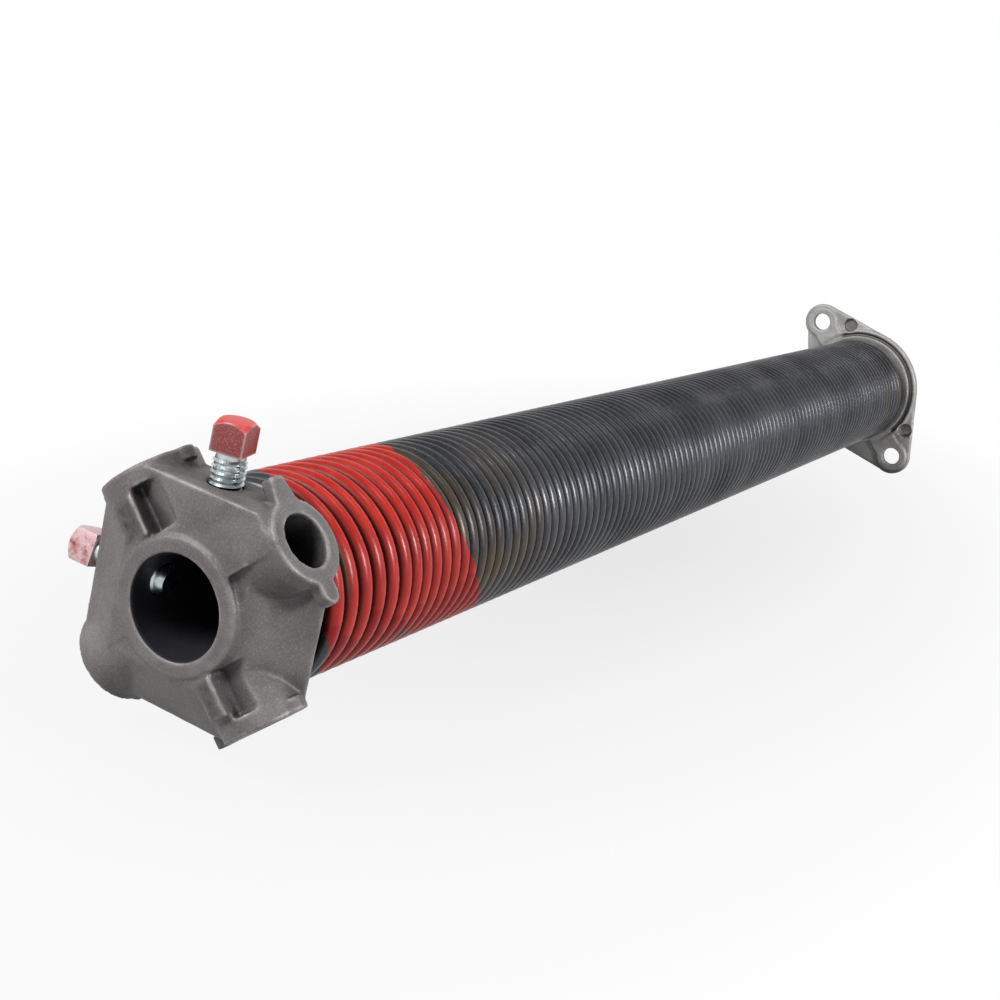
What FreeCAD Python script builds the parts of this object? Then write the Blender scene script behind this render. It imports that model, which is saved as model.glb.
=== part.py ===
import FreeCAD, Part
import math
import os

import Mesh

# Garage door torsion spring: a close-wound coil between a winding cone and a stationary cone.
# Millimetres. The origin is the centre of the stationary cone's mounting face.
# +X runs along the spring to the winding cone, +Z is up.
# Everything is drawn with the spring standing on +Z and laid along +X at the end,
# so an angle below is counted from +Y towards +Z, as seen from the winding cone.

# Coil
wire_dia = 5.715
coil_inside_dia = 50.8
close_pitch = 5.73
spread_pitch = 7.1
close_turns = 97
winding_end_turns = 5
stationary_end_turns = 4
flats_per_turn = 20
groove_depth = 2.2
spread_groove_depth = 4.4
sewing_tolerance = 0.001
wire_end_angle = 131.0

# Both cones
shaft_bore_dia = 29.2
cone_clearance = 0.3
mouth_chamfer = 0.5
cut_margin = 1.0

# Winding cone head, with depths counted back from its front face
head_depth = 27.0
coil_end_gap = 0.3
winding_barrel_length = 42.0
hub_radius = 19.7
web_reach = 33.3
corner_reach = 36.5
web_back = 20.5
shoulder_radius = 28.6
top_web_root = 1.1
top_web_front = 2.5
left_web_root = 0.4
left_web_front = 6.5
low_web_root = 0.8
low_web_front = 7.2
right_web_root = 3.0
right_web_front = 18.6
hub_chamfer = 0.8

# Winding bar sockets, all of one bore but in arms that the casting makes unlike.
# Each arm has its tube's radius at the hub and at its pad, the pad's shift to the left, and
# the reach of a pointed lug and of a round stub to the left (+) or right (-) of the socket.
arms = {
    45.0: {"root": 10.4, "pad": 12.2, "shift": 0.0, "lug": 18.7, "stub": -18.0},
    135.0: {"root": 12.4, "pad": 14.2, "shift": -1.0, "lug": 16.5, "stub": -17.0},
    225.0: {"root": 13.2, "pad": 13.5, "shift": 1.4, "lug": -15.0, "stub": 15.6},
    315.0: {"root": 10.4, "pad": 12.2, "shift": 0.0, "lug": -17.0, "stub": 14.2},
}
socket_axis_depth = 14.0
socket_dia = 15.4
socket_length = 19.4
pad_reach = 38.4
pad_thickness = 5.2
lug_width = 5.0
lug_root_width = 14.0
lug_thickness = 4.0
stub_radius = 3.2

# Broken gate stubs and the pockets beside them, whose floor runs from a depth at the stub
# to one at the pocket's far edge
gates = {
    135.0: {"left": 6.0, "right": -3.3, "pocket": -12.5, "floor": 4.8, "edge": 2.3},
    315.0: {"left": 1.0, "right": -6.0, "pocket": 11.5, "floor": 4.9, "edge": 5.2},
}
gate_inner_reach = 20.2
gate_outer_reach = 31.6
gate_front = 0.2
gate_break_height = 0.9
gate_root = 8.0
gate_break_tilt = 11.0

# Set screws, square head.
# Each points at the shaft from its own angle, and the side one is run in deeper.
screws = {
    "set_screw_top": {"angle": 90.0, "tip": 17.8},
    "set_screw_side": {"angle": 180.0, "tip": 14.8},
}
screw_depth = 12.5
screw_dia = 9.525
screw_thread_clearance = 0.05
screw_length = 24.4
screw_head_height = 8.7
screw_head_width = 9.4
screw_head_turn = 13.0
screw_point_chamfer = 1.5
screw_neck_length = 1.6
screw_neck_dia = 8.0
screw_crown_share = 0.98

# Stationary cone
flange_radius = 37.2
flange_thickness = 3.8
rim_height = 5.4
rim_width = 2.2
rim_side_angle = 45.0
inner_ring_radius = 33.2
inner_ring_height = 7.2
# Each ear's edge away from the rim runs from a neck round the bolt hole to a round on the hub
ears = {
    135.0: {"neck": 9.5, "round": 31.6},
    315.0: {"neck": 10.8, "round": 36.8},
}
bolt_circle_dia = 95.2
bolt_hole_dia = 10.4
ear_radius = 11.1
ear_pad_radius = 9.2
ear_pad_height = 5.2
ear_rib_width = 15.0
ear_pocket_angle = 22.0
ear_pocket_radius = 4.0
ear_pocket_reach = 40.0
ear_pocket_floor = 1.4
stationary_barrel_length = 50.0
bearing_seat_dia = 41.2
bearing_seat_depth = 12.7

# Worked out from the sizes above
coil_inside_radius = coil_inside_dia / 2
coil_outside_radius = coil_inside_radius + wire_dia
barrel_radius = coil_inside_radius - cone_clearance
bore_radius = shaft_bore_dia / 2
coil_length = ((winding_end_turns + stationary_end_turns + 1) * spread_pitch
               + close_turns * close_pitch)
coil_seat_height = inner_ring_height + coil_end_gap
coil_top = coil_seat_height + coil_length
head_back = coil_top + coil_end_gap
head_front = head_back + head_depth
axis_dir = FreeCAD.Vector(0, 0, 1)


def depth(value):
    """Height of a plane that lies this far behind the head's front face."""
    return head_front - value


def out_along(angle, reach, side=0.0, height=0.0):
    """Point at a distance along a direction, with an offset to its left."""
    a = math.radians(angle)
    x = reach * math.cos(a) - side * math.sin(a)
    y = reach * math.sin(a) + side * math.cos(a)
    return FreeCAD.Vector(x, y, height)


def cylinder(radius, low, high):
    return Part.makeCylinder(radius, high - low, FreeCAD.Vector(0, 0, low), axis_dir)


def radial_cylinder(radius, angle, inner, outer, height, side=0.0):
    """Cylinder whose axis points out from the spring's axis."""
    start = out_along(angle, inner, side, height)
    return Part.makeCylinder(radius, outer - inner, start, out_along(angle, 1.0))


def radial_cone(inner_radius, outer_radius, angle, inner, outer, height, side=0.0):
    start = out_along(angle, inner, side, height)
    direction = out_along(angle, 1.0)
    return Part.makeCone(inner_radius, outer_radius, outer - inner, start, direction)


def prism(points, along):
    """Closed outline pushed along a vector."""
    wire = Part.makePolygon(points + points[:1])
    return Part.Face(wire).extrude(along)


def radial_box(angle, inner, outer, left, right, low, high):
    """Box square to a direction that points out from the axis."""
    corners = [out_along(angle, inner, left, low), out_along(angle, outer, left, low),
               out_along(angle, outer, right, low), out_along(angle, inner, right, low)]
    return prism(corners, FreeCAD.Vector(0, 0, high - low))


def fuse(shapes):
    return shapes[0].multiFuse(shapes[1:]).removeSplitter()


def lay_along_spring(shape):
    """Turn the drawn +Z to +X, +X to +Y and +Y to +Z."""
    turned = shape.Solids[0].copy()
    turn = FreeCAD.Rotation(FreeCAD.Vector(1, 1, 1), 120)
    turned.Placement = FreeCAD.Placement(FreeCAD.Vector(), turn).multiply(turned.Placement)
    return turned


# The coil is a tube with a groove between each turn and the next, all on one helix.
def turn_starts():
    """Height at which each turn's lower groove starts, and its depth there."""
    pitches = [spread_pitch] * stationary_end_turns + [close_pitch] * close_turns
    pitches += [spread_pitch] * (winding_end_turns + 1)
    heights = [coil_seat_height]
    for pitch in pitches:
        heights.append(heights[-1] + pitch)
    depths = [groove_depth] * len(heights)
    spread = list(range(stationary_end_turns))
    spread += list(range(len(heights) - winding_end_turns - 1, len(heights)))
    for index in spread:
        depths[index] = spread_groove_depth
    return heights, depths


def helix_points(start, end):
    """One turn from a (radius, height) to the next, as a many-sided line."""
    points = []
    for step in range(flats_per_turn + 1):
        share = step / flats_per_turn
        radius = start[0] + (end[0] - start[0]) * share
        angle = 2 * math.pi * (step % flats_per_turn) / flats_per_turn
        height = start[1] + (end[1] - start[1]) * share
        points.append((radius * math.cos(angle), radius * math.sin(angle), height))
    return points


def strip(lower, upper):
    """Triangles between two turns, facing away from the axis."""
    triangles = []
    for step in range(flats_per_turn):
        triangles.append((lower[step], lower[step + 1], upper[step + 1]))
        triangles.append((lower[step], upper[step + 1], upper[step]))
    return triangles


def flat_fan(outline):
    """Triangles that fill an outline, seen from its first point."""
    return [(outline[0], outline[i], outline[i + 1]) for i in range(1, len(outline) - 1)]


def flip(triangles):
    return [(a, c, b) for a, b, c in triangles]


def coil():
    heights, depths = turn_starts()
    count = len(heights) - 2
    inner = coil_inside_radius / math.cos(math.pi / flats_per_turn)
    crest = coil_outside_radius
    grooves = [(crest - groove, height) for groove, height in zip(depths, heights)]
    crests = [(crest, (heights[k] + heights[k + 1]) / 2) for k in range(count + 1)]
    triangles = []
    for k in range(count):
        ridge = helix_points(crests[k], crests[k + 1])
        triangles += strip(helix_points(grooves[k], grooves[k + 1]), ridge)
        triangles += strip(ridge, helix_points(grooves[k + 1], grooves[k + 2]))
    foot = helix_points((inner, heights[0]), (inner, heights[1]))
    top = helix_points((inner, heights[count]), (inner, heights[count + 1]))
    triangles += strip(foot, helix_points(grooves[0], grooves[1]))
    triangles += strip(helix_points(grooves[count], grooves[count + 1]), top)
    triangles += flip(inner_wall(foot, top))
    triangles += wire_end(inner, grooves[0], crests[0], grooves[1])
    triangles += flip(wire_end(inner, grooves[count], crests[count], grooves[count + 1]))
    tube = Part.Shape()
    tube.makeShapeFromMesh(Mesh.Mesh([p for t in triangles for p in t]).Topology, sewing_tolerance)
    solid = Part.Solid(tube)
    if solid.Volume < 0:
        solid.reverse()
    solid.rotate(FreeCAD.Vector(), axis_dir, wire_end_angle)
    return solid


def inner_wall(foot, top):
    """The bore of the tube, whose first and last strips meet the two wire ends."""
    triangles = strip(foot, top)[2:-2]
    triangles += flat_fan([foot[-1], foot[0], foot[1], top[1], top[0]])
    triangles += flat_fan([top[0], top[-1], top[-2], foot[-2], foot[-1]])
    return triangles


def wire_end(inner, low_groove, crest, high_groove):
    """The cut end of the wire, a step between one turn and the next."""
    section = [(inner, low_groove[1]), (inner, high_groove[1]), high_groove, crest, low_groove]
    return flat_fan([(radius, 0.0, height) for radius, height in section])


# Winding cone
def web(angle, root_depth, edge_depth):
    """Quarter of the head between two sockets, with a front that slopes back."""
    rise = FreeCAD.Vector(0, 0, 1)
    section = [(0.0, root_depth), (hub_radius, root_depth), (web_reach, edge_depth),
               (web_reach, web_back), (0.0, web_back)]
    points = []
    for reach, back in section:
        points.append(out_along(angle, reach, -web_reach, depth(back)))
    slab = prism(points, out_along(angle, 0.0, 2 * web_reach))
    side = corner_reach * math.sqrt(2) - web_reach
    corner = corner_reach / math.sqrt(2)
    outline = [out_along(angle, 0.0), out_along(angle, corner, -corner),
               out_along(angle, web_reach, -side), out_along(angle, web_reach, side),
               out_along(angle, corner, corner)]
    quarter = prism(outline, rise * (head_front + cut_margin))
    return slab.common(quarter)


def hub():
    """Round core of the head, with the shoulder behind it that the coil stops at."""
    core = cylinder(hub_radius, head_back, depth(hub_chamfer))
    rim = Part.makeCone(hub_radius, hub_radius - hub_chamfer, hub_chamfer,
                        FreeCAD.Vector(0, 0, depth(hub_chamfer)), axis_dir)
    return core.fuse([rim, cylinder(shoulder_radius, head_back, depth(web_back))])


def arm(angle, sizes):
    """Tube round a winding bar socket, with its pad, pointed lug and round stub."""
    height = depth(socket_axis_depth)
    pad_inner = pad_reach - pad_thickness
    lug_inner = pad_reach - lug_thickness
    tube = radial_cone(sizes["root"], sizes["pad"], angle, bore_radius, pad_inner, height,
                       sizes["shift"])
    pad = radial_cylinder(sizes["pad"], angle, pad_inner, pad_reach, height, sizes["shift"])
    outline = [out_along(angle, lug_inner, 0.0, height - lug_root_width / 2),
               out_along(angle, lug_inner, sizes["lug"], height - lug_width / 2),
               out_along(angle, lug_inner, sizes["lug"], height + lug_width / 2),
               out_along(angle, lug_inner, 0.0, height + lug_root_width / 2)]
    lug = prism(outline, out_along(angle, lug_thickness))
    centre = sizes["stub"] - math.copysign(stub_radius, sizes["stub"])
    stub = radial_cylinder(stub_radius, angle, lug_inner, pad_reach, height, centre)
    bridge = radial_box(angle, lug_inner, pad_reach, min(0.0, centre), max(0.0, centre),
                        height - stub_radius, height + stub_radius)
    return [tube, pad, lug, stub, bridge]


def gate_stub(angle, sizes):
    """Stump left on an arm where the casting's gate was broken off."""
    front = depth(gate_front)
    block = radial_box(angle, gate_inner_reach, gate_outer_reach, sizes["right"], sizes["left"],
                       depth(gate_root), front + gate_break_height)
    middle = (sizes["left"] + sizes["right"]) / 2
    break_plane = radial_box(angle, 0.0, 2 * web_reach, -web_reach, web_reach,
                             front, front + web_reach)
    lean = -gate_break_tilt if sizes["pocket"] < 0 else gate_break_tilt
    break_plane.rotate(out_along(angle, 0.0, middle, front), out_along(angle, 1.0), lean)
    return block.cut(break_plane)


def gate_pocket(angle, sizes):
    """Flat floor beside a gate stub, lower than the round of its arm."""
    near = sizes["right"] if sizes["pocket"] < 0 else sizes["left"]
    section = [(near, sizes["floor"]), (sizes["pocket"], sizes["edge"]),
               (sizes["pocket"], -cut_margin), (near, -cut_margin)]
    points = [out_along(angle, hub_radius, side, depth(back)) for side, back in section]
    return prism(points, out_along(angle, pad_reach - pad_thickness - hub_radius))


def winding_cone():
    solids = [hub(),
              web(90.0, top_web_root, top_web_front),
              web(180.0, left_web_root, left_web_front),
              web(270.0, low_web_root, low_web_front),
              web(0.0, right_web_root, right_web_front),
              cylinder(barrel_radius, head_back - winding_barrel_length, head_back)]
    for angle, sizes in arms.items():
        solids += arm(angle, sizes)
    body = fuse(solids)
    body = body.cut([gate_pocket(angle, sizes) for angle, sizes in gates.items()])
    body = fuse([body] + [gate_stub(angle, sizes) for angle, sizes in gates.items()])
    low = head_back - winding_barrel_length
    holes = [cylinder(bore_radius, low - cut_margin, head_front + cut_margin),
             Part.makeCone(bore_radius, bore_radius + mouth_chamfer + cut_margin,
                           mouth_chamfer + cut_margin, FreeCAD.Vector(0, 0, depth(mouth_chamfer)),
                           axis_dir)]
    for angle in arms:
        holes.append(radial_cylinder(socket_dia / 2, angle, pad_reach - socket_length,
                                     pad_reach + cut_margin, depth(socket_axis_depth)))
    hole_radius = screw_dia / 2 + screw_thread_clearance
    for screw in screws.values():
        holes.append(radial_cylinder(hole_radius, screw["angle"], bore_radius / 2, 2 * web_reach,
                                     depth(screw_depth)))
    return body.cut(holes).removeSplitter()


# Set screws
def set_screw(angle, tip):
    """Square head set screw, its thread drawn as a plain shank, pointing at the shaft."""
    height = depth(screw_depth)
    radius = screw_dia / 2
    head_base = tip + screw_length
    head_top = head_base + screw_head_height
    neck_start = head_base - screw_neck_length
    point = radial_cone(radius - screw_point_chamfer, radius, angle, tip,
                        tip + screw_point_chamfer, height)
    shank = radial_cylinder(radius, angle, tip + screw_point_chamfer, neck_start, height)
    neck = radial_cylinder(screw_neck_dia / 2, angle, neck_start, head_base, height)
    half = screw_head_width / 2
    head = radial_box(angle, head_base, head_top, -half, half, height - half, height + half)
    corner = half * math.sqrt(2)
    crown = radial_cone(corner + screw_head_height, half * screw_crown_share, angle,
                        head_base, head_top, height)
    head = head.common(crown)
    head.rotate(out_along(angle, 0.0, 0.0, height), out_along(angle, 1.0), screw_head_turn)
    return fuse([point, shank, neck, head])


# Stationary cone
def toward_rim(angle):
    """Sense in which an ear's angle turns towards the flange's rim."""
    return math.copysign(1.0, math.sin(math.radians(rim_side_angle - angle)))


def ear_outline(angle, height):
    """Ear with one edge to the flange's rim and the other to its bare side."""
    reach = bolt_circle_dia / 2
    rim_edge = [flange_radius, ear_radius, toward_rim(angle)]
    bare_edge = [ears[angle]["round"], ears[angle]["neck"], -toward_rim(angle)]
    edges = []
    for flange_round, ear_round, turn in (rim_edge, bare_edge):
        lean = math.degrees(math.acos((flange_round - ear_round) / reach))
        tangent = angle + turn * lean
        edges.append([out_along(tangent, flange_round),
                      out_along(angle, reach) + out_along(tangent, ear_round)])
    points = edges[0] + edges[1][::-1]
    if ears[angle]["round"] > inner_ring_radius:
        closing = math.degrees(math.acos(inner_ring_radius / ears[angle]["round"]))
        points.append(out_along(tangent + turn * closing, inner_ring_radius))
    body = prism(points, FreeCAD.Vector(0, 0, height))
    tip = cylinder(ear_radius, 0.0, height)
    tip.translate(out_along(angle, reach))
    return [body, tip]


def ear_pad(angle):
    """Raised face round a bolt hole, with the rib that runs in to the hub."""
    reach = bolt_circle_dia / 2
    pad = cylinder(ear_pad_radius, 0.0, ear_pad_height)
    pad.translate(out_along(angle, reach))
    rib = radial_box(angle, barrel_radius, reach, -ear_rib_width / 2, ear_rib_width / 2,
                     0.0, ear_pad_height)
    return [pad, rib]


def ear_pocket(angle):
    """Small recess in the flange between an ear's pad and the rim."""
    recess = cylinder(ear_pocket_radius, ear_pocket_floor, 2 * rim_height)
    recess.translate(out_along(angle, ear_pocket_reach))
    return recess


def stationary_cone():
    ring = cylinder(flange_radius, 0.0, rim_height)
    ring = ring.cut(cylinder(flange_radius - rim_width, flange_thickness, 2 * rim_height))
    ring = ring.common(radial_box(rim_side_angle, 0.0, flange_radius, -flange_radius,
                                  flange_radius, 0.0, rim_height))
    solids = [ring, cylinder(inner_ring_radius, 0.0, inner_ring_height),
              cylinder(barrel_radius, 0.0, stationary_barrel_length)]
    for angle in ears:
        solids += ear_outline(angle, flange_thickness)
        solids += ear_pad(angle)
    body = fuse(solids)
    holes = [cylinder(bore_radius, -cut_margin, stationary_barrel_length + cut_margin),
             cylinder(bearing_seat_dia / 2, -cut_margin, bearing_seat_depth)]
    for angle in ears:
        hole = cylinder(bolt_hole_dia / 2, -cut_margin, ear_pad_height + cut_margin)
        hole.translate(out_along(angle, bolt_circle_dia / 2))
        holes.append(hole)
        holes.append(ear_pocket(angle + toward_rim(angle) * ear_pocket_angle))
    return body.cut(holes).removeSplitter()


def main():
    os.makedirs("parts", exist_ok=True)
    nodes = {"coil": coil(), "winding_cone": winding_cone(), "stationary_cone": stationary_cone()}
    for name, screw in screws.items():
        nodes[name] = set_screw(screw["angle"], screw["tip"])
    for name, shape in nodes.items():
        placed = lay_along_spring(shape)
        print(name, placed.ShapeType, len(placed.Solids), placed.isValid(), round(placed.Volume, 1),
              len(placed.Faces))
        placed.exportStep("parts/" + name + ".step")


main()
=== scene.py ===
import math

import bmesh
import bpy
from mathutils import Matrix, Quaternion, Vector, noise


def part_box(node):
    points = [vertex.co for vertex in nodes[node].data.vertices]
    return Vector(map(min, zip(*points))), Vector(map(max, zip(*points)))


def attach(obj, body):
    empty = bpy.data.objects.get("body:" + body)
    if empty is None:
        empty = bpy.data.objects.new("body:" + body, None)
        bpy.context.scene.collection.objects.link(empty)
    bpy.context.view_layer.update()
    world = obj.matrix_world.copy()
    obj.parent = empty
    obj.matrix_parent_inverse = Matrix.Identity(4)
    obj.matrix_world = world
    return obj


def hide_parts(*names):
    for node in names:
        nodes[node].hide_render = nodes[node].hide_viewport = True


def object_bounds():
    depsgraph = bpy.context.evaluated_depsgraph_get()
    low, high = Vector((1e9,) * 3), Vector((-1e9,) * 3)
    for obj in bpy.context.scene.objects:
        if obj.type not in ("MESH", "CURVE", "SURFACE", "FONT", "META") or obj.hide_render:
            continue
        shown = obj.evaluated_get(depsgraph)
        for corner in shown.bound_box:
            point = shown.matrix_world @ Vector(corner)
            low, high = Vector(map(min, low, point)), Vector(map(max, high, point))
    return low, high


# Garage door torsion spring: an oil-tempered wire coil, part of it painted red, between two
# die-cast aluminium cones, with two zinc-plated square head set screws.
# Sizes are in millimetres and turned to metres where a mesh or a node takes them.

MM = 0.001

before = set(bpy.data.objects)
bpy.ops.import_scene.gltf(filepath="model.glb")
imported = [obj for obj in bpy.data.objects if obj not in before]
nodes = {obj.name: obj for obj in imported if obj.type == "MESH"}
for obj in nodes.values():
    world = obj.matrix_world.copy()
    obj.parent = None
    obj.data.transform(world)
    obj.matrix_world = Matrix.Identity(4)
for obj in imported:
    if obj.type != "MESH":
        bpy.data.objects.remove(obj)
cad_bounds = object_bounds()

# Coil, in the part's own terms: the wire's centre line is a right-hand helix about X
wire_dia = 5.715
coil_inside_dia = 50.8
close_pitch = 5.73
spread_pitch = 7.1
turns = 106
first_spread_turns = 3.5
last_close_turn = 100.5
wire_end_angle = 131.0
points_per_turn = 64
wire_sides = 12

# Set screws
screw_dia = 9.525
thread_pitch = 1.5875
thread_height = 0.57
thread_sink = 0.1
thread_margin = 0.3
thread_points_per_turn = 40
screw_point = 1.5
screw_point_chamfer = 1.0
screw_neck_length = 1.6
screw_neck_dia = 8.0
screw_head_height = 8.7
screw_head_width = 9.4
screw_head_turn = 13.0
screw_head_edge = 0.45
screw_crown_share = 0.96
screw_angles = {"set_screw_top": 90.0, "set_screw_side": 180.0}
# The side screw is shown run in deeper than its node, with its point in the shaft bore
side_screw_run_in = 3.0

# Winding cone: where its shaft bore and its four bar sockets lie, and how far past their wall
# and in from their mouth the painted shade in them starts and is full
head_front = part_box("winding_cone")[1].x
shaft_bore_radius = 14.6
bar_socket_radius = 7.7
bar_socket_depth = 14.0
bar_pad_reach = 38.4
wall_blend = (0.45, 0.25)
mouth_blend = (0.3, 1.1)

# Stumps of the winding cone's gates, broken off by hand: the right and left side of each, by
# its arm's angle, its reach from the axis and how far back from the front the break goes
gate_sides = {135.0: (-2.4, 5.6), 315.0: (-5.6, 0.4)}
gate_reach = (20.2, 31.6)
gate_break_back = 2.2
# The break's roughness, its grain, how far it is sunk and how far in it reaches that, and how
# far in its stain is full
break_height = 0.22
break_grain = 0.9
break_depth = 0.2
break_bowl = 3.0
break_stain = 1.8
# Fractal noise: how fast it fades, its step in size and its number of sizes
break_noise = (0.6, 2.0, 4)

# Skin of the castings: a slight wave, as a die leaves it
cast_wave_height = 0.3
cast_wave_size = 5.0
merge_distance = 0.002
# Most triangles that a cast piece is thinned to. A piece has to stay under 200,000
# triangles
most_triangles = 180000

# Rays that a material casts to tell an edge or a corner
corner_samples = 8


# Node trees
def add_node(tree, kind, inputs=None, out=0, **settings):
    """Adds a node with its settings and gives one of its outputs.

    An input that is a socket is linked, and any other is set as a value.
    """
    node = tree.nodes.new(kind)
    for name, value in settings.items():
        setattr(node, name, value)
    for key, value in (inputs or {}).items():
        if isinstance(value, bpy.types.NodeSocket):
            tree.links.new(value, node.inputs[key])
        else:
            node.inputs[key].default_value = value
    return node.outputs[out] if node.outputs else node


def new_tree(name, inputs):
    """Geometry tree with named inputs, given as name: socket type."""
    tree = bpy.data.node_groups.new(name, "GeometryNodeTree")
    tree.interface.new_socket("Geometry", in_out="INPUT", socket_type="NodeSocketGeometry")
    for title, kind in inputs.items():
        tree.interface.new_socket(title, in_out="INPUT", socket_type=kind)
    tree.interface.new_socket("Geometry", in_out="OUTPUT", socket_type="NodeSocketGeometry")
    return tree, add_node(tree, "NodeGroupInput").node.outputs


def end_tree(tree, geometry, material):
    """Ends a geometry tree in a plain mesh with its material."""
    real = add_node(tree, "GeometryNodeRealizeInstances", {0: geometry})
    painted = add_node(tree, "GeometryNodeSetMaterial", {0: real, "Material": material})
    add_node(tree, "NodeGroupOutput", {0: painted})


def baked(piece):
    """The piece's mesh with its modifiers worked in, at the origin."""
    bpy.context.view_layer.update()
    depsgraph = bpy.context.evaluated_depsgraph_get()
    mesh = bpy.data.meshes.new_from_object(piece.evaluated_get(depsgraph))
    piece.modifiers.clear()
    piece.data = mesh
    mesh.name = piece.name
    return piece


def shaped(piece, tree, values):
    """Runs a geometry tree on a piece. Inputs are set by their identifiers."""
    modifier = piece.modifiers.new(tree.name, "NODES")
    modifier.node_group = tree
    for item in tree.interface.items_tree:
        if item.item_type == "SOCKET" and item.in_out == "INPUT" and item.name in values:
            modifier[item.identifier] = values[item.name]
    return baked(piece)


def new_piece(name, mesh=None):
    """Object at the origin, with a mesh or an empty one."""
    piece = bpy.data.objects.new(name, mesh or bpy.data.meshes.new(name))
    bpy.context.scene.collection.objects.link(piece)
    return piece


# Materials
def linear(hex_colour):
    """sRGB hex colour as the linear RGBA that a shader takes."""
    channels = [int(hex_colour[i:i + 2], 16) / 255 for i in (1, 3, 5)]
    channels = [c / 12.92 if c <= 0.04045 else ((c + 0.055) / 1.055) ** 2.4 for c in channels]
    return (*channels, 1.0)


def blotches(size):
    """Noise scale that makes blotches about this many millimetres across."""
    return 1 / (size * MM)


def new_material(name):
    """Empty material, its tree and the object coordinates in it."""
    material = bpy.data.materials.new(name)
    material.use_nodes = True
    tree = material.node_tree
    tree.nodes.clear()
    return material, tree, add_node(tree, "ShaderNodeTexCoord", out="Object")


# Where the red paint starts and ends along the spring, as two planes that lean.
# Each is met on the coil at middle + lean * cos(angle - high side).
paint_far = {"middle": 535.6, "lean": 31.5, "high": 60.0}
paint_near = {"middle": 614.0, "lean": 23.0, "high": 33.0}
coil_radius = (coil_inside_dia + wire_dia) / 2

# A bare patch under the red part, and the sliver of bare wire beside the head
bare_patch = Vector((584.0, 26.4, -16.4)) * MM
bare_patch_radius = 2.9
bare_patch_edge = 0.3
paint_edge = 0.5
sliver_turns = (104.66, 104.70, 104.76, 104.80)


def past_plane(tree, place, plane):
    """Distance in metres past a leaning plane."""
    slope = plane["lean"] / (coil_radius + wire_dia / 2)
    high = math.radians(plane["high"])
    normal = (1.0, -slope * math.cos(high), -slope * math.sin(high))
    along = add_node(tree, "ShaderNodeVectorMath", {0: place, 1: normal}, "Value",
                     operation="DOT_PRODUCT")
    return add_node(tree, "ShaderNodeMath", {0: along, 1: plane["middle"] * MM},
                    operation="SUBTRACT")


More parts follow.
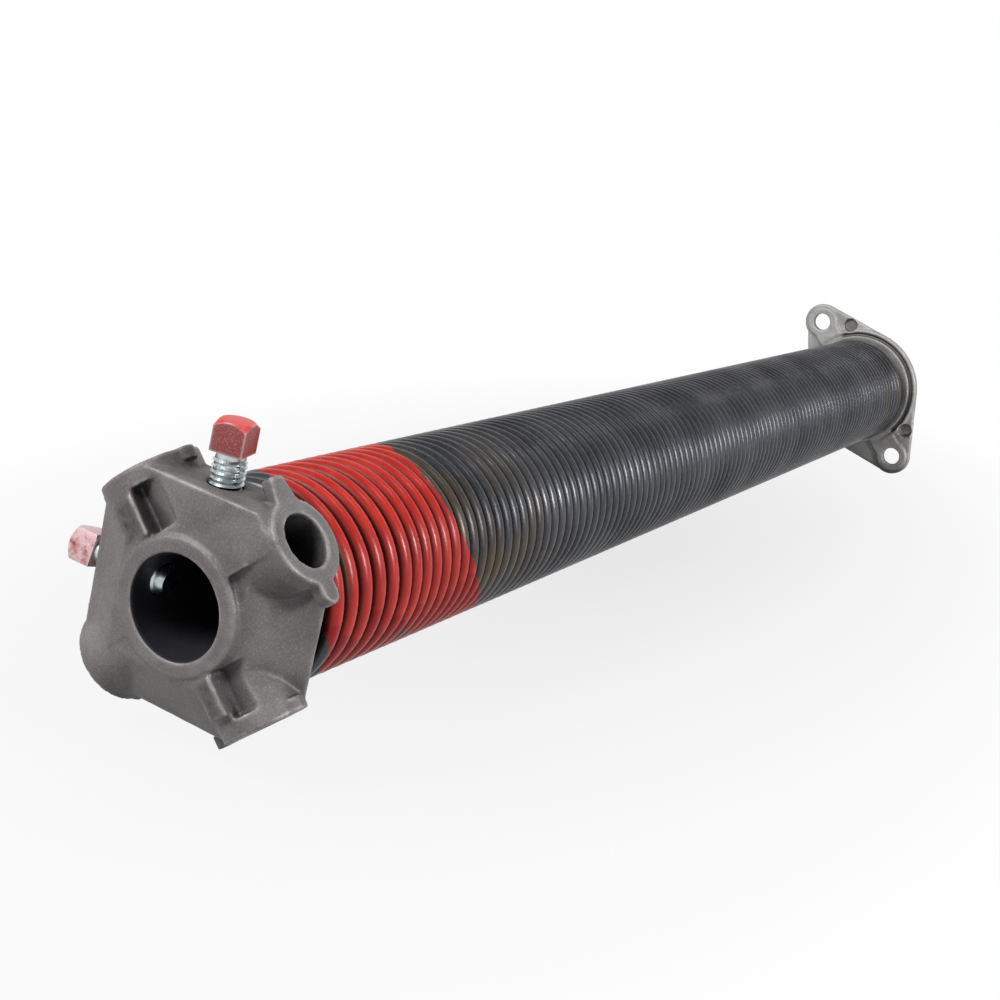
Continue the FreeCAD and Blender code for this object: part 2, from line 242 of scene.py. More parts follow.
def oil_tempered_wire():
    """Oil-tempered spring wire: blue-black scale under a film of oil, so it is dark with soft
    grey highlights, and brown where the oil has dried. Part of it is sprayed red."""
    material, tree, place = new_material("oil_tempered_wire_with_red_paint")
    turn = add_node(tree, "ShaderNodeAttribute", out="Fac", attribute_name="turn")
    normal = add_node(tree, "ShaderNodeNewGeometry", out="Normal")
    toward_head = add_node(tree, "ShaderNodeSeparateXYZ", {0: normal})
    spot = add_node(tree, "ShaderNodeSeparateXYZ", {0: place}).node
    along, up = spot.outputs["X"], spot.outputs["Z"]
    broad = add_node(tree, "ShaderNodeTexNoise",
                     {"Vector": place, "Scale": blotches(28.0), "Detail": 3.0})
    fine = add_node(tree, "ShaderNodeTexNoise",
                    {"Vector": place, "Scale": blotches(1.6), "Detail": 3.0})

    # Scale and oil
    share = add_node(tree, "ShaderNodeMapRange", {"Value": broad, "From Min": 0.32,
                                                  "From Max": 0.70})
    bare = add_node(tree, "ShaderNodeMix", {0: share, 6: linear("#2f3035"), 7: linear("#4e4f54")},
                    2, data_type="RGBA")
    share = add_node(tree, "ShaderNodeMapRange", {"Value": fine, "From Min": 0.45,
                                                  "From Max": 0.75, "To Max": 0.4})
    bare = add_node(tree, "ShaderNodeMix", {0: share, 6: bare, 7: linear("#56575d")},
                    2, data_type="RGBA")

    # Dried oil, in patches before the paint and at the far end
    past_far = past_plane(tree, place, paint_far)
    patches = add_node(tree, "ShaderNodeTexNoise",
                       {"Vector": place, "Scale": blotches(22.0), "Detail": 3.0})
    patches = add_node(tree, "ShaderNodeMapRange", {"Value": patches, "From Min": 0.40,
                                                    "From Max": 0.62})
    before = add_node(tree, "ShaderNodeMapRange", {"Value": past_far, "From Min": -75.0 * MM,
                                                   "From Max": -4.0 * MM, "To Max": 0.75})
    not_past = add_node(tree, "ShaderNodeMapRange", {"Value": past_far, "From Min": 0.0,
                                                     "From Max": 4.0 * MM, "To Min": 1.0,
                                                     "To Max": 0.0})
    before = add_node(tree, "ShaderNodeMath", {0: before, 1: not_past}, operation="MULTIPLY")
    far_end = add_node(tree, "ShaderNodeMapRange", {"Value": along, "From Min": 70.0 * MM,
                                                    "From Max": 8.0 * MM, "To Max": 0.6})
    dried = add_node(tree, "ShaderNodeMath", {0: before, 1: far_end}, operation="MAXIMUM")
    dried = add_node(tree, "ShaderNodeMath", {0: dried, 1: patches}, operation="MULTIPLY")
    bare = add_node(tree, "ShaderNodeMix", {0: dried, 6: bare, 7: linear("#5c4f3d")},
                    2, data_type="RGBA")

    # Red paint between two ragged edges, with painted shade on the lower side: a deeper red
    # below a height that steps from turn to turn
    ragged = add_node(tree, "ShaderNodeTexNoise",
                      {"Vector": place, "Scale": blotches(6.0), "Detail": 3.0})
    ragged = add_node(tree, "ShaderNodeMapRange", {"Value": ragged, "From Min": 0.2,
                                                   "From Max": 0.8, "To Min": -1.2 * MM,
                                                   "To Max": 1.2 * MM})
    far = add_node(tree, "ShaderNodeMath", {0: past_far, 1: ragged}, operation="ADD")
    far = add_node(tree, "ShaderNodeMapRange", {"Value": far, "From Min": -paint_edge * MM,
                                                "From Max": paint_edge * MM})
    near = add_node(tree, "ShaderNodeMath", {0: past_plane(tree, place, paint_near), 1: ragged},
                    operation="ADD")
    near = add_node(tree, "ShaderNodeMapRange", {"Value": near, "From Min": -paint_edge * MM,
                                                 "From Max": paint_edge * MM, "To Min": 1.0,
                                                 "To Max": 0.0})
    from_patch = add_node(tree, "ShaderNodeVectorMath", {0: place, 1: bare_patch}, "Value",
                          operation="DISTANCE")
    from_patch = add_node(tree, "ShaderNodeMath", {0: from_patch, 1: ragged}, operation="ADD")
    off_patch = add_node(tree, "ShaderNodeMapRange",
                         {"Value": from_patch,
                          "From Min": (bare_patch_radius - bare_patch_edge) * MM,
                          "From Max": (bare_patch_radius + bare_patch_edge) * MM})
    painted = add_node(tree, "ShaderNodeMath", {0: far, 1: near}, operation="MULTIPLY")
    painted = add_node(tree, "ShaderNodeMath", {0: painted, 1: off_patch}, operation="MULTIPLY")
    cloud = add_node(tree, "ShaderNodeTexNoise",
                     {"Vector": place, "Scale": blotches(9.0), "Detail": 4.0})
    share = add_node(tree, "ShaderNodeMapRange", {"Value": cloud, "From Min": 0.35,
                                                  "From Max": 0.68})
    red = add_node(tree, "ShaderNodeMix", {0: share, 6: linear("#a81f18"), 7: linear("#ba3027")},
                   2, data_type="RGBA")
    whole_turn = add_node(tree, "ShaderNodeMath", {0: turn}, operation="FLOOR")
    shade_height = add_node(tree, "ShaderNodeTexWhiteNoise", {"W": whole_turn}, noise_dimensions="1D")
    shade_height = add_node(tree, "ShaderNodeMapRange", {"Value": shade_height, "To Min": -10.0 * MM,
                                                    "To Max": 2.0 * MM})
    lower_side_shade = add_node(tree, "ShaderNodeMath", {0: up, 1: shade_height}, operation="SUBTRACT")
    lower_side_shade = add_node(tree, "ShaderNodeMapRange", {"Value": lower_side_shade, "From Min": 0.6 * MM,
                                                  "From Max": -0.6 * MM, "To Max": 0.9})
    red = add_node(tree, "ShaderNodeMix", {0: lower_side_shade, 6: red, 7: linear("#990d07")},
                   2, data_type="RGBA")
    colour = add_node(tree, "ShaderNodeMix", {0: painted, 6: bare, 7: red}, 2, data_type="RGBA")

    # Sliver of bare metal on the side that faces the head
    low, low_full, high_full, high = sliver_turns
    starts = add_node(tree, "ShaderNodeMapRange", {"Value": turn, "From Min": low,
                                                   "From Max": low_full})
    ends = add_node(tree, "ShaderNodeMapRange", {"Value": turn, "From Min": high_full,
                                                 "From Max": high, "To Min": 1.0, "To Max": 0.0})
    side = add_node(tree, "ShaderNodeMapRange", {"Value": toward_head, "From Min": 0.72,
                                                 "From Max": 0.82})
    sliver = add_node(tree, "ShaderNodeMath", {0: starts, 1: ends}, operation="MULTIPLY")
    sliver = add_node(tree, "ShaderNodeMath", {0: sliver, 1: side}, operation="MULTIPLY")
    colour = add_node(tree, "ShaderNodeMix", {0: sliver, 6: colour, 7: linear("#94866c")},
                      2, data_type="RGBA")

    # Painted shade in the grooves between the turns, where little light gets in: darker there, and
    # rougher
    openness = add_node(tree, "ShaderNodeAmbientOcclusion", {"Distance": 5.0 * MM}, "AO",
                        samples=corner_samples)
    groove_shade = add_node(tree, "ShaderNodeMapRange", {"Value": openness, "From Min": 0.96,
                                                  "From Max": 0.52})
    colour = add_node(tree, "ShaderNodeMix", {0: groove_shade, 6: colour, 7: linear("#595555")},
                      2, data_type="RGBA", blend_type="MULTIPLY")
    gloss = add_node(tree, "ShaderNodeMapRange", {"Value": broad, "From Min": 0.32,
                                                  "From Max": 0.70, "To Min": 0.36,
                                                  "To Max": 0.27})
    gloss = add_node(tree, "ShaderNodeMath", {0: gloss, 1: groove_shade}, operation="MAXIMUM")
    metal = add_node(tree, "ShaderNodeMapRange", {"Value": painted, "To Min": 0.5, "To Max": 0.0})
    streak = add_node(tree, "ShaderNodeTexNoise",
                      {"Vector": place, "Scale": blotches(0.8), "Detail": 2.0})
    rough = add_node(tree, "ShaderNodeBump", {"Strength": 0.2, "Distance": 0.12 * MM,
                                              "Height": streak})
    skin = add_node(tree, "ShaderNodeBsdfPrincipled",
                    {"Base Color": colour, "Metallic": metal, "Roughness": gloss,
                     "Specular IOR Level": 0.3, "Normal": rough})
    add_node(tree, "ShaderNodeOutputMaterial", {"Surface": skin})
    return material


def hollows(tree, place):
    """One in the shaft bore and the bar sockets of the winding cone, nought elsewhere."""
    # Measured from where the sockets' axes cross, and turned so that they lie along Y and Z
    centre = (bar_socket_depth * MM - head_front, 0.0, 0.0)
    turned = add_node(tree, "ShaderNodeMapping",
                      {"Vector": place, "Location": centre,
                       "Rotation": (math.radians(45.0), 0.0, 0.0)})
    found = []
    for keep in ((0.0, 1.0, 1.0), (1.0, 1.0, 0.0), (1.0, 0.0, 1.0)):
        kept = add_node(tree, "ShaderNodeVectorMath", {0: turned, 1: keep}, operation="MULTIPLY")
        found.append(add_node(tree, "ShaderNodeVectorMath", {0: kept}, "Value",
                              operation="LENGTH"))
    from_axis, from_socket, from_other = found
    near_socket = add_node(tree, "ShaderNodeMath", {0: from_socket, 1: from_other},
                           operation="MINIMUM")
    along = add_node(tree, "ShaderNodeSeparateXYZ", {0: turned})
    marks = []
    for distance, radius, depth, mouth in (
            (from_axis, shaft_bore_radius, along, bar_socket_depth),
            (near_socket, bar_socket_radius, from_axis, bar_pad_reach)):
        inside = add_node(tree, "ShaderNodeMapRange",
                          {"Value": distance, "From Min": (radius + wall_blend[0]) * MM,
                           "From Max": (radius + wall_blend[1]) * MM})
        deep = add_node(tree, "ShaderNodeMapRange",
                        {"Value": depth, "From Min": (mouth - mouth_blend[0]) * MM,
                         "From Max": (mouth - mouth_blend[1]) * MM})
        marks.append(add_node(tree, "ShaderNodeMath", {0: inside, 1: deep},
                              operation="MULTIPLY"))
    return add_node(tree, "ShaderNodeMath", {0: marks[0], 1: marks[1]}, operation="MAXIMUM")


def die_cast_aluminium(name, dark, light, with_hollows):
    """Pressure die-cast aluminium, as cast and untumbled: a dull warm grey skin with a fine
    grit, pale on its edges, partly rubbed wear and partly a painted highlight, and darkened by
    painted shade in its bores and inner corners."""
    material, tree, place = new_material(name)
    flow = add_node(tree, "ShaderNodeTexNoise",
                    {"Vector": place, "Scale": blotches(16.0), "Detail": 4.0, "Distortion": 0.6})
    grit = add_node(tree, "ShaderNodeTexNoise",
                    {"Vector": place, "Scale": blotches(0.55), "Detail": 3.0})
    share = add_node(tree, "ShaderNodeMapRange", {"Value": flow, "From Min": 0.35,
                                                  "From Max": 0.68})
    tone = add_node(tree, "ShaderNodeMix", {0: share, 6: linear(dark), 7: linear(light)},
                    2, data_type="RGBA")
    share = add_node(tree, "ShaderNodeMapRange", {"Value": grit, "From Min": 0.52,
                                                  "From Max": 0.72, "To Max": 0.20})
    tone = add_node(tree, "ShaderNodeMix", {0: share, 6: tone, 7: linear("#b5b1b0")},
                    2, data_type="RGBA")
    share = add_node(tree, "ShaderNodeMapRange", {"Value": grit, "From Min": 0.46,
                                                  "From Max": 0.28, "To Max": 0.25})
    tone = add_node(tree, "ShaderNodeMix", {0: share, 6: tone, 7: linear("#3f3d3e")},
                    2, data_type="RGBA")

    # Pale edges, partly rubbed wear and partly a painted highlight, then painted shade in the
    # inner corners and in the hollows
    edge = add_node(tree, "ShaderNodeAmbientOcclusion", {"Distance": 1.4 * MM}, "AO",
                    samples=corner_samples, inside=True)
    edge = add_node(tree, "ShaderNodeMapRange", {"Value": edge, "From Min": 0.93,
                                                 "From Max": 0.66, "To Max": 0.75})
    edge_patches = add_node(tree, "ShaderNodeTexNoise",
                      {"Vector": place, "Scale": blotches(7.0), "Detail": 4.0})
    edge_patches = add_node(tree, "ShaderNodeMapRange", {"Value": edge_patches, "From Min": 0.40,
                                                   "From Max": 0.62, "To Min": 0.15})
    edge = add_node(tree, "ShaderNodeMath", {0: edge, 1: edge_patches}, operation="MULTIPLY")
    tone = add_node(tree, "ShaderNodeMix", {0: edge, 6: tone, 7: linear("#d6d2cf")},
                    2, data_type="RGBA")
    # Painted shade: near-black mixed into the inner corners and deep recesses where occlusion is
    # high
    corner = add_node(tree, "ShaderNodeAmbientOcclusion", {"Distance": 15.0 * MM}, "AO",
                      samples=corner_samples)
    corner = add_node(tree, "ShaderNodeMapRange", {"Value": corner, "From Min": 0.94,
                                                   "From Max": 0.45, "To Max": 0.72})
    openness = add_node(tree, "ShaderNodeAmbientOcclusion", {"Distance": 22.0 * MM}, "AO",
                        samples=corner_samples)
    openness = add_node(tree, "ShaderNodeMapRange", {"Value": openness, "From Min": 0.60,
                                                     "From Max": 0.15, "To Max": 0.92})
    recess_shade = add_node(tree, "ShaderNodeMath", {0: corner, 1: openness}, operation="MAXIMUM")
    tone = add_node(tree, "ShaderNodeMix", {0: recess_shade, 6: tone, 7: linear("#161619")},
                    2, data_type="RGBA")
    # Painted shade in the shaft bore and the bar sockets
    if with_hollows:
        tone = add_node(tree, "ShaderNodeMix",
                        {0: hollows(tree, place), 6: tone, 7: linear("#303036")},
                        2, data_type="RGBA")

    # Dark pits where a gate was broken off
    torn = add_node(tree, "ShaderNodeAttribute", out="Fac", attribute_name="torn")
    pits = add_node(tree, "ShaderNodeTexNoise",
                    {"Vector": place, "Scale": blotches(2.6), "Detail": 5.0})
    dark_pits = add_node(tree, "ShaderNodeMapRange", {"Value": pits, "From Min": 0.64,
                                                      "From Max": 0.36, "To Min": 0.30,
                                                      "To Max": 0.72})
    dark_pits = add_node(tree, "ShaderNodeMath", {0: dark_pits, 1: torn}, operation="MULTIPLY")
    tone = add_node(tree, "ShaderNodeMix", {0: dark_pits, 6: tone, 7: linear("#2f2626")},
                    2, data_type="RGBA")

    gloss = add_node(tree, "ShaderNodeMapRange", {"Value": flow, "From Min": 0.3,
                                                  "From Max": 0.7, "To Min": 0.46,
                                                  "To Max": 0.60})
    rough = add_node(tree, "ShaderNodeBump", {"Strength": 0.45, "Distance": 0.18 * MM,
                                              "Height": grit})
    lumps = add_node(tree, "ShaderNodeTexNoise",
                     {"Vector": place, "Scale": blotches(3.5), "Detail": 2.0})
    rough = add_node(tree, "ShaderNodeBump", {"Strength": 0.3, "Distance": 0.5 * MM,
                                              "Height": lumps, "Normal": rough})
    skin = add_node(tree, "ShaderNodeBsdfPrincipled",
                    {"Base Color": tone, "Metallic": 0.25, "Roughness": gloss,
                     "Specular IOR Level": 0.35, "Normal": rough})
    add_node(tree, "ShaderNodeOutputMaterial", {"Surface": skin})
    return material


def zinc_plate():
    """Bright zinc plate on steel: a bluish silver with a soft sheen, dark between the threads."""
    material, tree, place = new_material("bright_zinc_plate")
    cloud = add_node(tree, "ShaderNodeTexNoise",
                     {"Vector": place, "Scale": blotches(2.5), "Detail": 2.0})
    share = add_node(tree, "ShaderNodeMapRange", {"Value": cloud, "From Min": 0.3,
                                                  "From Max": 0.7})
    colour = add_node(tree, "ShaderNodeMix", {0: share, 6: linear("#aab3b5"),
                                              7: linear("#cfd6d6")}, 2, data_type="RGBA")
    # Painted shade between the threads, darker where little light gets in
    openness = add_node(tree, "ShaderNodeAmbientOcclusion", {"Distance": 1.2 * MM}, "AO",
                        samples=corner_samples)
    groove_shade = add_node(tree, "ShaderNodeMapRange", {"Value": openness, "From Min": 0.75,
                                                  "From Max": 0.35, "To Max": 0.9})
    colour = add_node(tree, "ShaderNodeMix", {0: groove_shade, 6: colour, 7: linear("#2c3032")},
                      2, data_type="RGBA")
    gloss = add_node(tree, "ShaderNodeMapRange", {"Value": cloud, "From Min": 0.3,
                                                  "From Max": 0.7, "To Min": 0.22,
                                                  "To Max": 0.36})
    skin = add_node(tree, "ShaderNodeBsdfPrincipled",
                    {"Base Color": colour, "Metallic": 1.0, "Roughness": gloss})
    add_node(tree, "ShaderNodeOutputMaterial", {"Surface": skin})
    return material


def painted_screw_head(name, outward, solid_red, thin_red, bare):
    """Zinc-plated head sprayed red from one side: solid there, thin and cloudy elsewhere, and
    rubbed through to the plate on its edges."""
    material, tree, place = new_material(name)
    normal = add_node(tree, "ShaderNodeNewGeometry", out="Normal")
    facing = add_node(tree, "ShaderNodeVectorMath", {0: normal, 1: outward}, "Value",
                      operation="DOT_PRODUCT")
    cloud = add_node(tree, "ShaderNodeTexNoise",
                     {"Vector": place, "Scale": blotches(2.2), "Detail": 4.0})
    speck = add_node(tree, "ShaderNodeTexNoise",
                     {"Vector": place, "Scale": blotches(0.4), "Detail": 3.0})
    cover = add_node(tree, "ShaderNodeMath", {0: facing, 1: cloud}, operation="ADD")
    cover = add_node(tree, "ShaderNodeMapRange", {"Value": cover, "From Min": 0.92,
                                                  "From Max": 1.18})
    share = add_node(tree, "ShaderNodeMapRange", {"Value": speck, "From Min": 0.50,
                                                  "From Max": 0.70, "To Max": 0.45})
    sheer = add_node(tree, "ShaderNodeMix", {0: share, 6: linear(thin_red),
                                             7: linear(bare)}, 2, data_type="RGBA")
    colour = add_node(tree, "ShaderNodeMix", {0: cover, 6: sheer, 7: linear(solid_red)},
                      2, data_type="RGBA")
    edge = add_node(tree, "ShaderNodeAmbientOcclusion", {"Distance": 0.9 * MM}, "AO",
                    samples=corner_samples, inside=True)
    edge = add_node(tree, "ShaderNodeMapRange", {"Value": edge, "From Min": 0.90,
                                                 "From Max": 0.66, "To Max": 0.5})
    colour = add_node(tree, "ShaderNodeMix", {0: edge, 6: colour, 7: linear("#d9cdcc")},
                      2, data_type="RGBA")
    metal = add_node(tree, "ShaderNodeMapRange", {"Value": cover, "To Min": 0.35, "To Max": 0.0})
    skin = add_node(tree, "ShaderNodeBsdfPrincipled",
                    {"Base Color": colour, "Metallic": metal, "Roughness": 0.36})
    add_node(tree, "ShaderNodeOutputMaterial", {"Surface": skin})
    return material


wire_steel = oil_tempered_wire()
cone_metal = die_cast_aluminium("die_cast_aluminium", "#625e5e", "#7b7776", True)
flange_metal = die_cast_aluminium("die_cast_aluminium_lighter", "#93928f", "#b4b3b1", False)
zinc = zinc_plate()
top_head = painted_screw_head("zinc_plate_sprayed_red_on_its_end", (0.0, 0.0, 1.0),
                              "#c4352f", "#8f3d3d", "#b39c9c")
# The side head is coloured by which way its faces turn: pale pink with near-white specks on faces
# turned up, dark red on faces turned down and to the front. This is painted light and shade over
# its red paint.
side_head = painted_screw_head("zinc_plate_sprayed_red_with_painted_light", (0.66, 0.0, -0.75),
                               "#9a3436", "#d3acb0", "#f2eaea")


# Helix: wire of the coil, thread of a screw
def helix_tree():
    """Section swept along a helix about X, whose pitch widens at both ends."""
    real, whole = "NodeSocketFloat", "NodeSocketInt"
    tree, given = new_tree("helix", {
        "Turns": real, "Points per turn": whole, "Start X": real, "Close pitch": real,
        "Extra pitch": real, "First spread turns": real, "Last close turn": real,
        "Helix radius": real, "Start angle": real, "Section radius": real,
        "Section sides": whole, "Smooth": "NodeSocketBool", "Material": "NodeSocketMaterial"})
    steps = add_node(tree, "ShaderNodeMath", {0: given["Turns"], 1: given["Points per turn"]},
                     operation="MULTIPLY")
    count = add_node(tree, "ShaderNodeMath", {0: steps, 1: 1.0}, operation="ADD")
    line = add_node(tree, "GeometryNodeCurvePrimitiveLine")
    path = add_node(tree, "GeometryNodeResampleCurve", {"Curve": line, "Count": count})
    index = add_node(tree, "GeometryNodeInputIndex")
    turn = add_node(tree, "ShaderNodeMath", {0: index, 1: given["Points per turn"]},
                    operation="DIVIDE")
    first = add_node(tree, "ShaderNodeMath", {0: turn, 1: given["First spread turns"]},
                     operation="MINIMUM")
    last = add_node(tree, "ShaderNodeMath", {0: turn, 1: given["Last close turn"]},
                    operation="SUBTRACT")
    last = add_node(tree, "ShaderNodeMath", {0: last, 1: 0.0}, operation="MAXIMUM")
    spread = add_node(tree, "ShaderNodeMath", {0: first, 1: last}, operation="ADD")
    spread = add_node(tree, "ShaderNodeMath", {0: spread, 1: given["Extra pitch"]},
                      operation="MULTIPLY")
    x = add_node(tree, "ShaderNodeMath", {0: turn, 1: given["Close pitch"], 2: spread},
                 operation="MULTIPLY_ADD")
    x = add_node(tree, "ShaderNodeMath", {0: x, 1: given["Start X"]}, operation="ADD")
    angle = add_node(tree, "ShaderNodeMath", {0: turn, 1: 2 * math.pi, 2: given["Start angle"]},
                     operation="MULTIPLY_ADD")
    cosine = add_node(tree, "ShaderNodeMath", {0: angle}, operation="COSINE")
    sine = add_node(tree, "ShaderNodeMath", {0: angle}, operation="SINE")
    outward = add_node(tree, "ShaderNodeCombineXYZ", {1: cosine, 2: sine})
    spot = add_node(tree, "ShaderNodeVectorMath", {0: outward, "Scale": given["Helix radius"]},
                    operation="SCALE")
    spot = add_node(tree, "ShaderNodeVectorMath",
                    {0: spot, 1: add_node(tree, "ShaderNodeCombineXYZ", {0: x})},
                    operation="ADD")
    bent = add_node(tree, "GeometryNodeSetPosition", {0: path, "Position": spot})
    upright = add_node(tree, "GeometryNodeSetCurveNormal", {"Curve": bent, "Normal": outward},
                       mode="FREE")
    marked = add_node(tree, "GeometryNodeStoreNamedAttribute",
                      {0: upright, "Name": "turn", "Value": turn},
                      data_type="FLOAT", domain="POINT")
    section = add_node(tree, "GeometryNodeCurvePrimitiveCircle",
                       {"Resolution": given["Section sides"], "Radius": given["Section radius"]})
    swept = add_node(tree, "GeometryNodeCurveToMesh",
                     {"Curve": marked, "Profile Curve": section, "Fill Caps": True})
    shaded = add_node(tree, "GeometryNodeSetShadeSmooth",
                      {0: swept, "Shade Smooth": given["Smooth"]})
    end_tree(tree, shaded, given["Material"])
    return tree


helix = helix_tree()


def coil_wire():
    """The spring's one wire, close wound between its spread ends."""
    piece = shaped(new_piece("coil_wire"), helix, {
        "Turns": float(turns), "Points per turn": points_per_turn,
        "Start X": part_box("coil")[0].x + spread_pitch / 2 * MM,
        "Close pitch": close_pitch * MM, "Extra pitch": (spread_pitch - close_pitch) * MM,
        "First spread turns": first_spread_turns, "Last close turn": last_close_turn,
        "Helix radius": coil_radius * MM, "Start angle": math.radians(wire_end_angle),
        "Section radius": wire_dia / 2 * MM, "Section sides": wire_sides, "Smooth": True,
        "Material": wire_steel})
    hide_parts("coil")
    return piece


# Cast cones: the solid with its edges and inner corners softened as a die-cast skin is
def cast_skin_tree():
    """Moves a surface in and out by a slight wave, and shades it smooth."""
    tree, given = new_tree("cast_skin", {
        "Wave height": "NodeSocketFloat", "Wave size": "NodeSocketFloat",
        "Material": "NodeSocketMaterial"})
    scale = add_node(tree, "ShaderNodeMath", {0: 1.0, 1: given["Wave size"]}, operation="DIVIDE")
    wave = add_node(tree, "ShaderNodeTexNoise", {"Scale": scale, "Detail": 3.0})
    lift = add_node(tree, "ShaderNodeMath", {0: wave, 1: 0.5}, operation="SUBTRACT")
    lift = add_node(tree, "ShaderNodeMath", {0: lift, 1: given["Wave height"]},
                    operation="MULTIPLY")
    outward = add_node(tree, "GeometryNodeInputNormal")
    push = add_node(tree, "ShaderNodeVectorMath", {0: outward, "Scale": lift},
                    operation="SCALE")
    moved = add_node(tree, "GeometryNodeSetPosition", {0: given["Geometry"], "Offset": push})
    shaded = add_node(tree, "GeometryNodeSetShadeSmooth", {0: moved, "Shade Smooth": True})
    end_tree(tree, shaded, given["Material"])
    return tree


cast_skin = cast_skin_tree()


def tear_breaks(mesh):
    """Tears the broken faces of the gate stumps, and marks them for the metal's colour."""
    torn = mesh.attributes.new("torn", "FLOAT", "POINT")
    near, far = gate_reach
    for vert in mesh.vertices:
        if vert.co.x < head_front - gate_break_back * MM:
            continue
        for angle, (right, left) in gate_sides.items():
            a = math.radians(angle)
            reach = (vert.co.y * math.cos(a) + vert.co.z * math.sin(a)) / MM
            side = (vert.co.z * math.cos(a) - vert.co.y * math.sin(a)) / MM
            edge = min(reach - near, far - reach, side - right, left - side)
            if edge > 0:
                rough = noise.fractal(vert.co / (break_grain * MM), *break_noise)
                sunk = min(edge / break_bowl, 1.0) * break_depth
                vert.co.x += (min(edge, 1.0) * rough * break_height - sunk) * MM
                torn.data[vert.index].value = min(edge / break_stain, 1.0)


def cast_piece(node_name, material, grain, rounds):
    """Copy of a solid, remeshed and smoothed so that its edges and corners turn soft."""
    mesh = nodes[node_name].data.copy()
    merged = bmesh.new()
    merged.from_mesh(mesh)
    bmesh.ops.remove_doubles(merged, verts=merged.verts, dist=merge_distance * MM)
    merged.to_mesh(mesh)
    merged.free()
    mesh.materials.clear()
    piece = new_piece(node_name + "_casting", mesh)
    remesh = piece.modifiers.new("grain", "REMESH")
    remesh.mode = "VOXEL"
    remesh.voxel_size = grain * MM
    soften = piece.modifiers.new("soften", "SMOOTH")
    soften.factor = 0.5
    soften.iterations = rounds
    baked(piece)
    thinned = piece.modifiers.new("thinned", "DECIMATE")
    thinned.ratio = min(1.0, most_triangles / (2 * len(piece.data.polygons)))
    baked(piece)
    shaped(piece, cast_skin, {"Wave height": cast_wave_height * MM,
                              "Wave size": cast_wave_size * MM, "Material": material})
    if node_name == "winding_cone":
        tear_breaks(piece.data)
    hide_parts(node_name)
    return piece


# Set screws, made on +Z with the tip low, then turned to their place
def mesh_of(body, name):
    """Mesh of a bmesh, which is freed."""
    mesh = bpy.data.meshes.new(name)
    body.to_mesh(mesh)
    body.free()
    return mesh


def turned_body(profile, sides=48):
    """Closed round body about Z from its (radius, height) outline."""
    body = bmesh.new()
    angles = [2 * math.pi * k / sides for k in range(sides)]
    rings = [[body.verts.new((radius * math.cos(a) * MM, radius * math.sin(a) * MM, height * MM))
              for a in angles] for radius, height in profile]
    for low, high in zip(rings, rings[1:]):
        for k in range(sides):
            after = (k + 1) % sides
            body.faces.new((low[k], low[after], high[after], high[k]))
    body.faces.new(rings[0][::-1])
    body.faces.new(rings[-1])
    return body


def smooth_below(piece, degrees):
    """Smooth shading, kept sharp at edges that turn by more than this."""
    piece.data.shade_smooth()
    piece.data.set_sharp_from_angle(angle=math.radians(degrees))


def square_head(name, base, top):
    """Square head, its far face crowned where a cone meets the four sides."""
    half = screw_head_width / 2
    block = bmesh.new()
    bmesh.ops.create_cube(block, size=2 * half * MM)
    mid = (base + top) / 2
    for vert in block.verts:
        vert.co.z = (mid + math.copysign((top - base) / 2, vert.co.z)) * MM
    head = new_piece(name, mesh_of(block, name))
    # A cone at 45 degrees, wide enough at the base to leave the sides whole, and begun below
    # the head and ended just past its top so that no two faces coincide
    wide = half * math.sqrt(2) + (top - base)
    cone = turned_body([(wide, base - 1.0), (wide, base), (half * screw_crown_share, top + 0.001)],
                       sides=96)
    cutter = new_piece("crown_cutter", mesh_of(cone, "crown_cutter"))
    crown = head.modifiers.new("crown", "BOOLEAN")
    crown.operation = "INTERSECT"
    crown.object = cutter
    edge = head.modifiers.new("edge", "BEVEL")
    edge.width = screw_head_edge * MM
    edge.segments = 3
    edge.angle_limit = math.radians(25)
    baked(head)
    bpy.data.objects.remove(cutter)
    return head


def screw_place(outward, x, run_in):
    """Turns +Z to the screw's outward direction, with the head's own turn first."""
    turn = Matrix.Rotation(math.radians(screw_head_turn), 4, "Z")
    stand = Vector((0, 0, 1)).rotation_difference(outward).to_matrix().to_4x4()
    return Matrix.Translation(Vector((x, 0, 0)) - outward * run_in * MM) @ stand @ turn


def set_screw(node_name, head_material, run_in):
    """Shank, head and thread of a screw between the two ends of its node."""
    angle = math.radians(screw_angles[node_name])
    outward = Vector((0.0, math.cos(angle), math.sin(angle)))
    low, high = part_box(node_name)
    tip, top = sorted(outward.dot(corner) / MM for corner in (low, high))
    head_base = top - screw_head_height
    neck = head_base - screw_neck_length
    core = screw_dia / 2 - thread_height
    point = tip + screw_point
    body = turned_body([(core - screw_point_chamfer, tip), (core, point), (core, neck),
                        (screw_neck_dia / 2, neck), (screw_neck_dia / 2, head_base)])
    shank = new_piece(node_name + "_shank", mesh_of(body, node_name))
    shank.data.materials.append(zinc)
    smooth_below(shank, 35.0)
    head = square_head(node_name + "_head", head_base, top)
    head.data.materials.clear()
    head.data.materials.append(head_material)
    smooth_below(head, 25.0)
    thread_turns = (neck - point - 2 * thread_margin) / thread_pitch
    thread = shaped(new_piece(node_name + "_thread"), helix, {
        "Turns": thread_turns, "Points per turn": thread_points_per_turn,
        "Start X": (point + thread_margin) * MM, "Close pitch": thread_pitch * MM,
        "Extra pitch": 0.0, "First spread turns": 0.0, "Last close turn": thread_turns,
        "Helix radius": (core - thread_sink) * MM, "Start angle": 0.0,
        "Section radius": (thread_height + thread_sink) * MM, "Section sides": 4,
        "Smooth": False, "Material": zinc})
    along_z = Quaternion((0, 1, 0), -math.pi / 2).to_matrix().to_4x4()
    thread.data.transform(along_z)
    made = [shank, head, thread]
    for piece in made:
        piece.data.transform(screw_place(outward, (low.x + high.x) / 2, run_in))
        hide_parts(node_name)
    return made


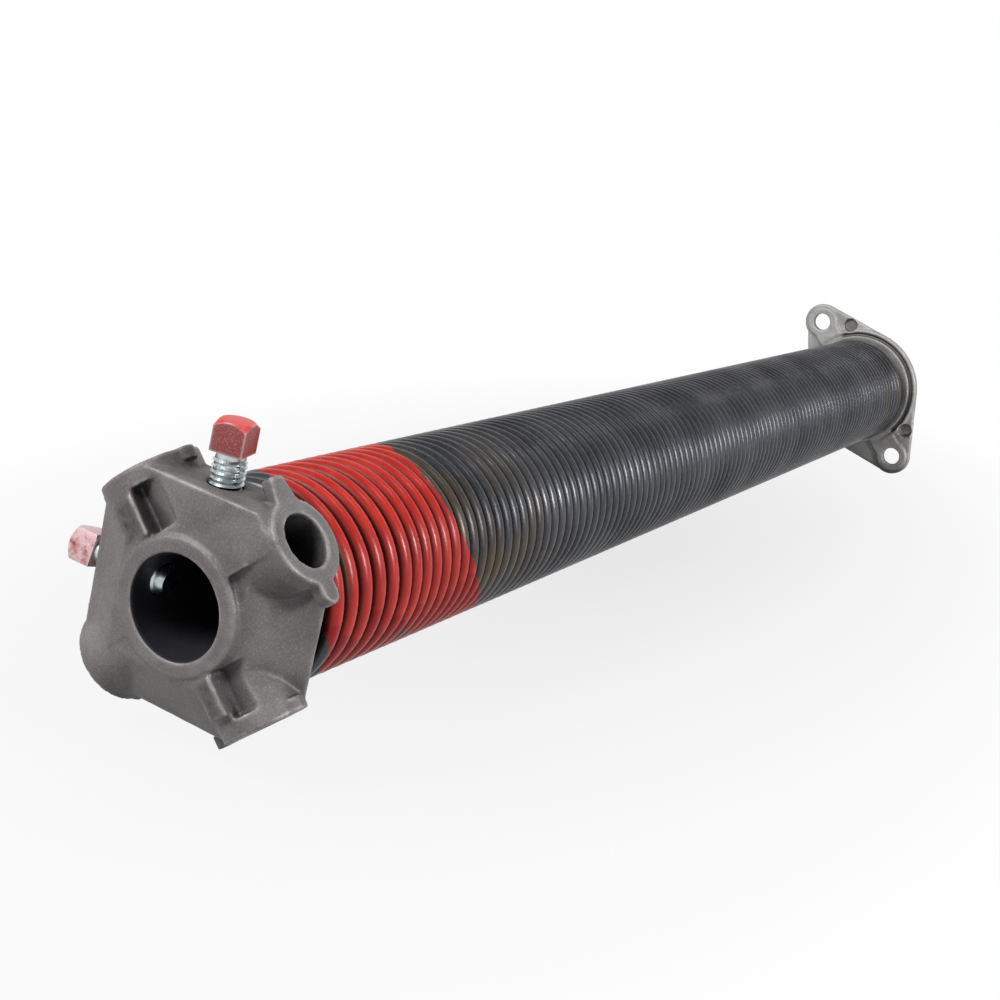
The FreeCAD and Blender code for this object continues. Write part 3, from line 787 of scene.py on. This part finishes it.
pieces = [coil_wire(),
          cast_piece("winding_cone", cone_metal, grain=0.5, rounds=5),
          cast_piece("stationary_cone", flange_metal, grain=0.55, rounds=4)]
pieces += set_screw("set_screw_top", top_head, 0.0)
pieces += set_screw("set_screw_side", side_head, side_screw_run_in)
for piece in pieces:
    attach(piece, "root")


# Stage
def studio_world(strength):
    """Dim, even light from overhead, above the backdrop."""
    world = bpy.data.worlds.new("studio")
    world.use_nodes = True
    tree = world.node_tree
    tree.nodes.clear()
    light = add_node(tree, "ShaderNodeBackground", {"Color": linear("#ffffff"),
                                                    "Strength": strength})
    add_node(tree, "ShaderNodeOutputWorld", {"Surface": light})
    bpy.context.scene.world = world


def studio_backdrop(lowest):
    """Matt floor that sweeps up all round. It takes the spring's shadow near by and is plain
    white where it is seen farther off."""
    material, tree, place = new_material("pale_backdrop")
    floor = add_node(tree, "ShaderNodeBsdfPrincipled",
                     {"Base Color": linear("#848484"), "Roughness": 0.9,
                      "Specular IOR Level": 0.1})
    white = add_node(tree, "ShaderNodeEmission", {"Color": linear("#ffffff"), "Strength": 1.0})
    from_middle = add_node(tree, "ShaderNodeVectorMath",
                           {0: place, 1: (middle.x, middle.y, lowest)}, operation="SUBTRACT")
    from_middle = add_node(tree, "ShaderNodeVectorMath", {0: from_middle, 1: (0.4, 1.0, 1.0)},
                           operation="MULTIPLY")
    away = add_node(tree, "ShaderNodeVectorMath", {0: from_middle}, "Value", operation="LENGTH")
    clear = add_node(tree, "ShaderNodeMapRange", {"Value": away, "From Min": 20.0 * MM,
                                                  "From Max": 220.0 * MM, "To Min": 0.78,
                                                  "To Max": 1.0})
    rays = add_node(tree, "ShaderNodeLightPath").node.outputs
    seen = add_node(tree, "ShaderNodeMath", {0: rays["Is Camera Ray"], 1: rays["Is Glossy Ray"]},
                    operation="MAXIMUM")
    seen = add_node(tree, "ShaderNodeMath", {0: seen, 1: rays["Is Transmission Ray"]},
                    operation="MAXIMUM")
    share = add_node(tree, "ShaderNodeMath", {0: clear, 1: seen}, operation="MULTIPLY")
    mixed = add_node(tree, "ShaderNodeMixShader", {0: share, 1: floor, 2: white})
    add_node(tree, "ShaderNodeOutputMaterial", {"Surface": mixed})

    # Outline in metres: flat, then a quarter round, then upright
    flat, sweep, wall = 2.2, 1.2, 2.2
    sweep_steps = 12
    sides = 64
    profile = [(flat, 0.0)]
    for step in range(1, sweep_steps + 1):
        a = math.radians(90 * step / sweep_steps)
        profile.append((flat + sweep * math.sin(a), sweep * (1 - math.cos(a))))
    profile.append((flat + sweep, wall))
    verts, faces = [], [list(range(sides))]
    for radius, height in profile:
        for k in range(sides):
            a = 2 * math.pi * k / sides
            verts.append((middle.x + radius * math.cos(a), middle.y + radius * math.sin(a),
                          lowest + height))
    for ring in range(len(profile) - 1):
        for k in range(sides):
            low, next_low = ring * sides + k, ring * sides + (k + 1) % sides
            faces.append([next_low, low, low + sides, next_low + sides])
    mesh = bpy.data.meshes.new("backdrop")
    mesh.from_pydata(verts, [], faces)
    mesh.materials.append(material)
    mesh.shade_smooth()
    new_piece("backdrop", mesh)


def soft_light(name, place, size, watts):
    """Round lamp that points at the spring's middle."""
    lamp = bpy.data.lights.new(name, "AREA")
    lamp.shape = "DISK"
    lamp.size = size
    lamp.energy = watts
    light = bpy.data.objects.new(name, lamp)
    light.location = place
    light.rotation_mode = "QUATERNION"
    light.rotation_quaternion = (middle - Vector(place)).to_track_quat("-Z", "Y")
    bpy.context.scene.collection.objects.link(light)


def studio_camera():
    """Camera at the photograph's viewing angle, square on to the image with no shift."""
    place = Vector((971.16, 228.09, 163.60)) * MM
    target = Vector((399.97, -37.45, -25.24)) * MM
    roll = math.radians(14.09)
    data = bpy.data.cameras.new("camera")
    data.sensor_width = 36.0
    data.lens = 55.92
    data.clip_start = 0.01
    camera = bpy.data.objects.new("camera", data)
    camera.location = place
    camera.rotation_mode = "QUATERNION"
    camera.rotation_quaternion = ((target - place).to_track_quat("-Z", "Y")
                                  @ Quaternion((0, 0, 1), roll))
    bpy.context.scene.collection.objects.link(camera)
    bpy.context.scene.camera = camera


middle = (cad_bounds[0] + cad_bounds[1]) / 2
studio_world(0.28)
studio_backdrop(cad_bounds[0].z)
# Place and size in metres, and watts
soft_light("key", (1.60, -0.60, 1.00), 0.7, 25.0)
soft_light("side", (0.45, 1.20, 0.55), 0.3, 13.0)
soft_light("top", (0.25, 0.35, 1.50), 0.3, 2.5)
studio_camera()
bpy.context.scene.view_settings.view_transform = "Standard"
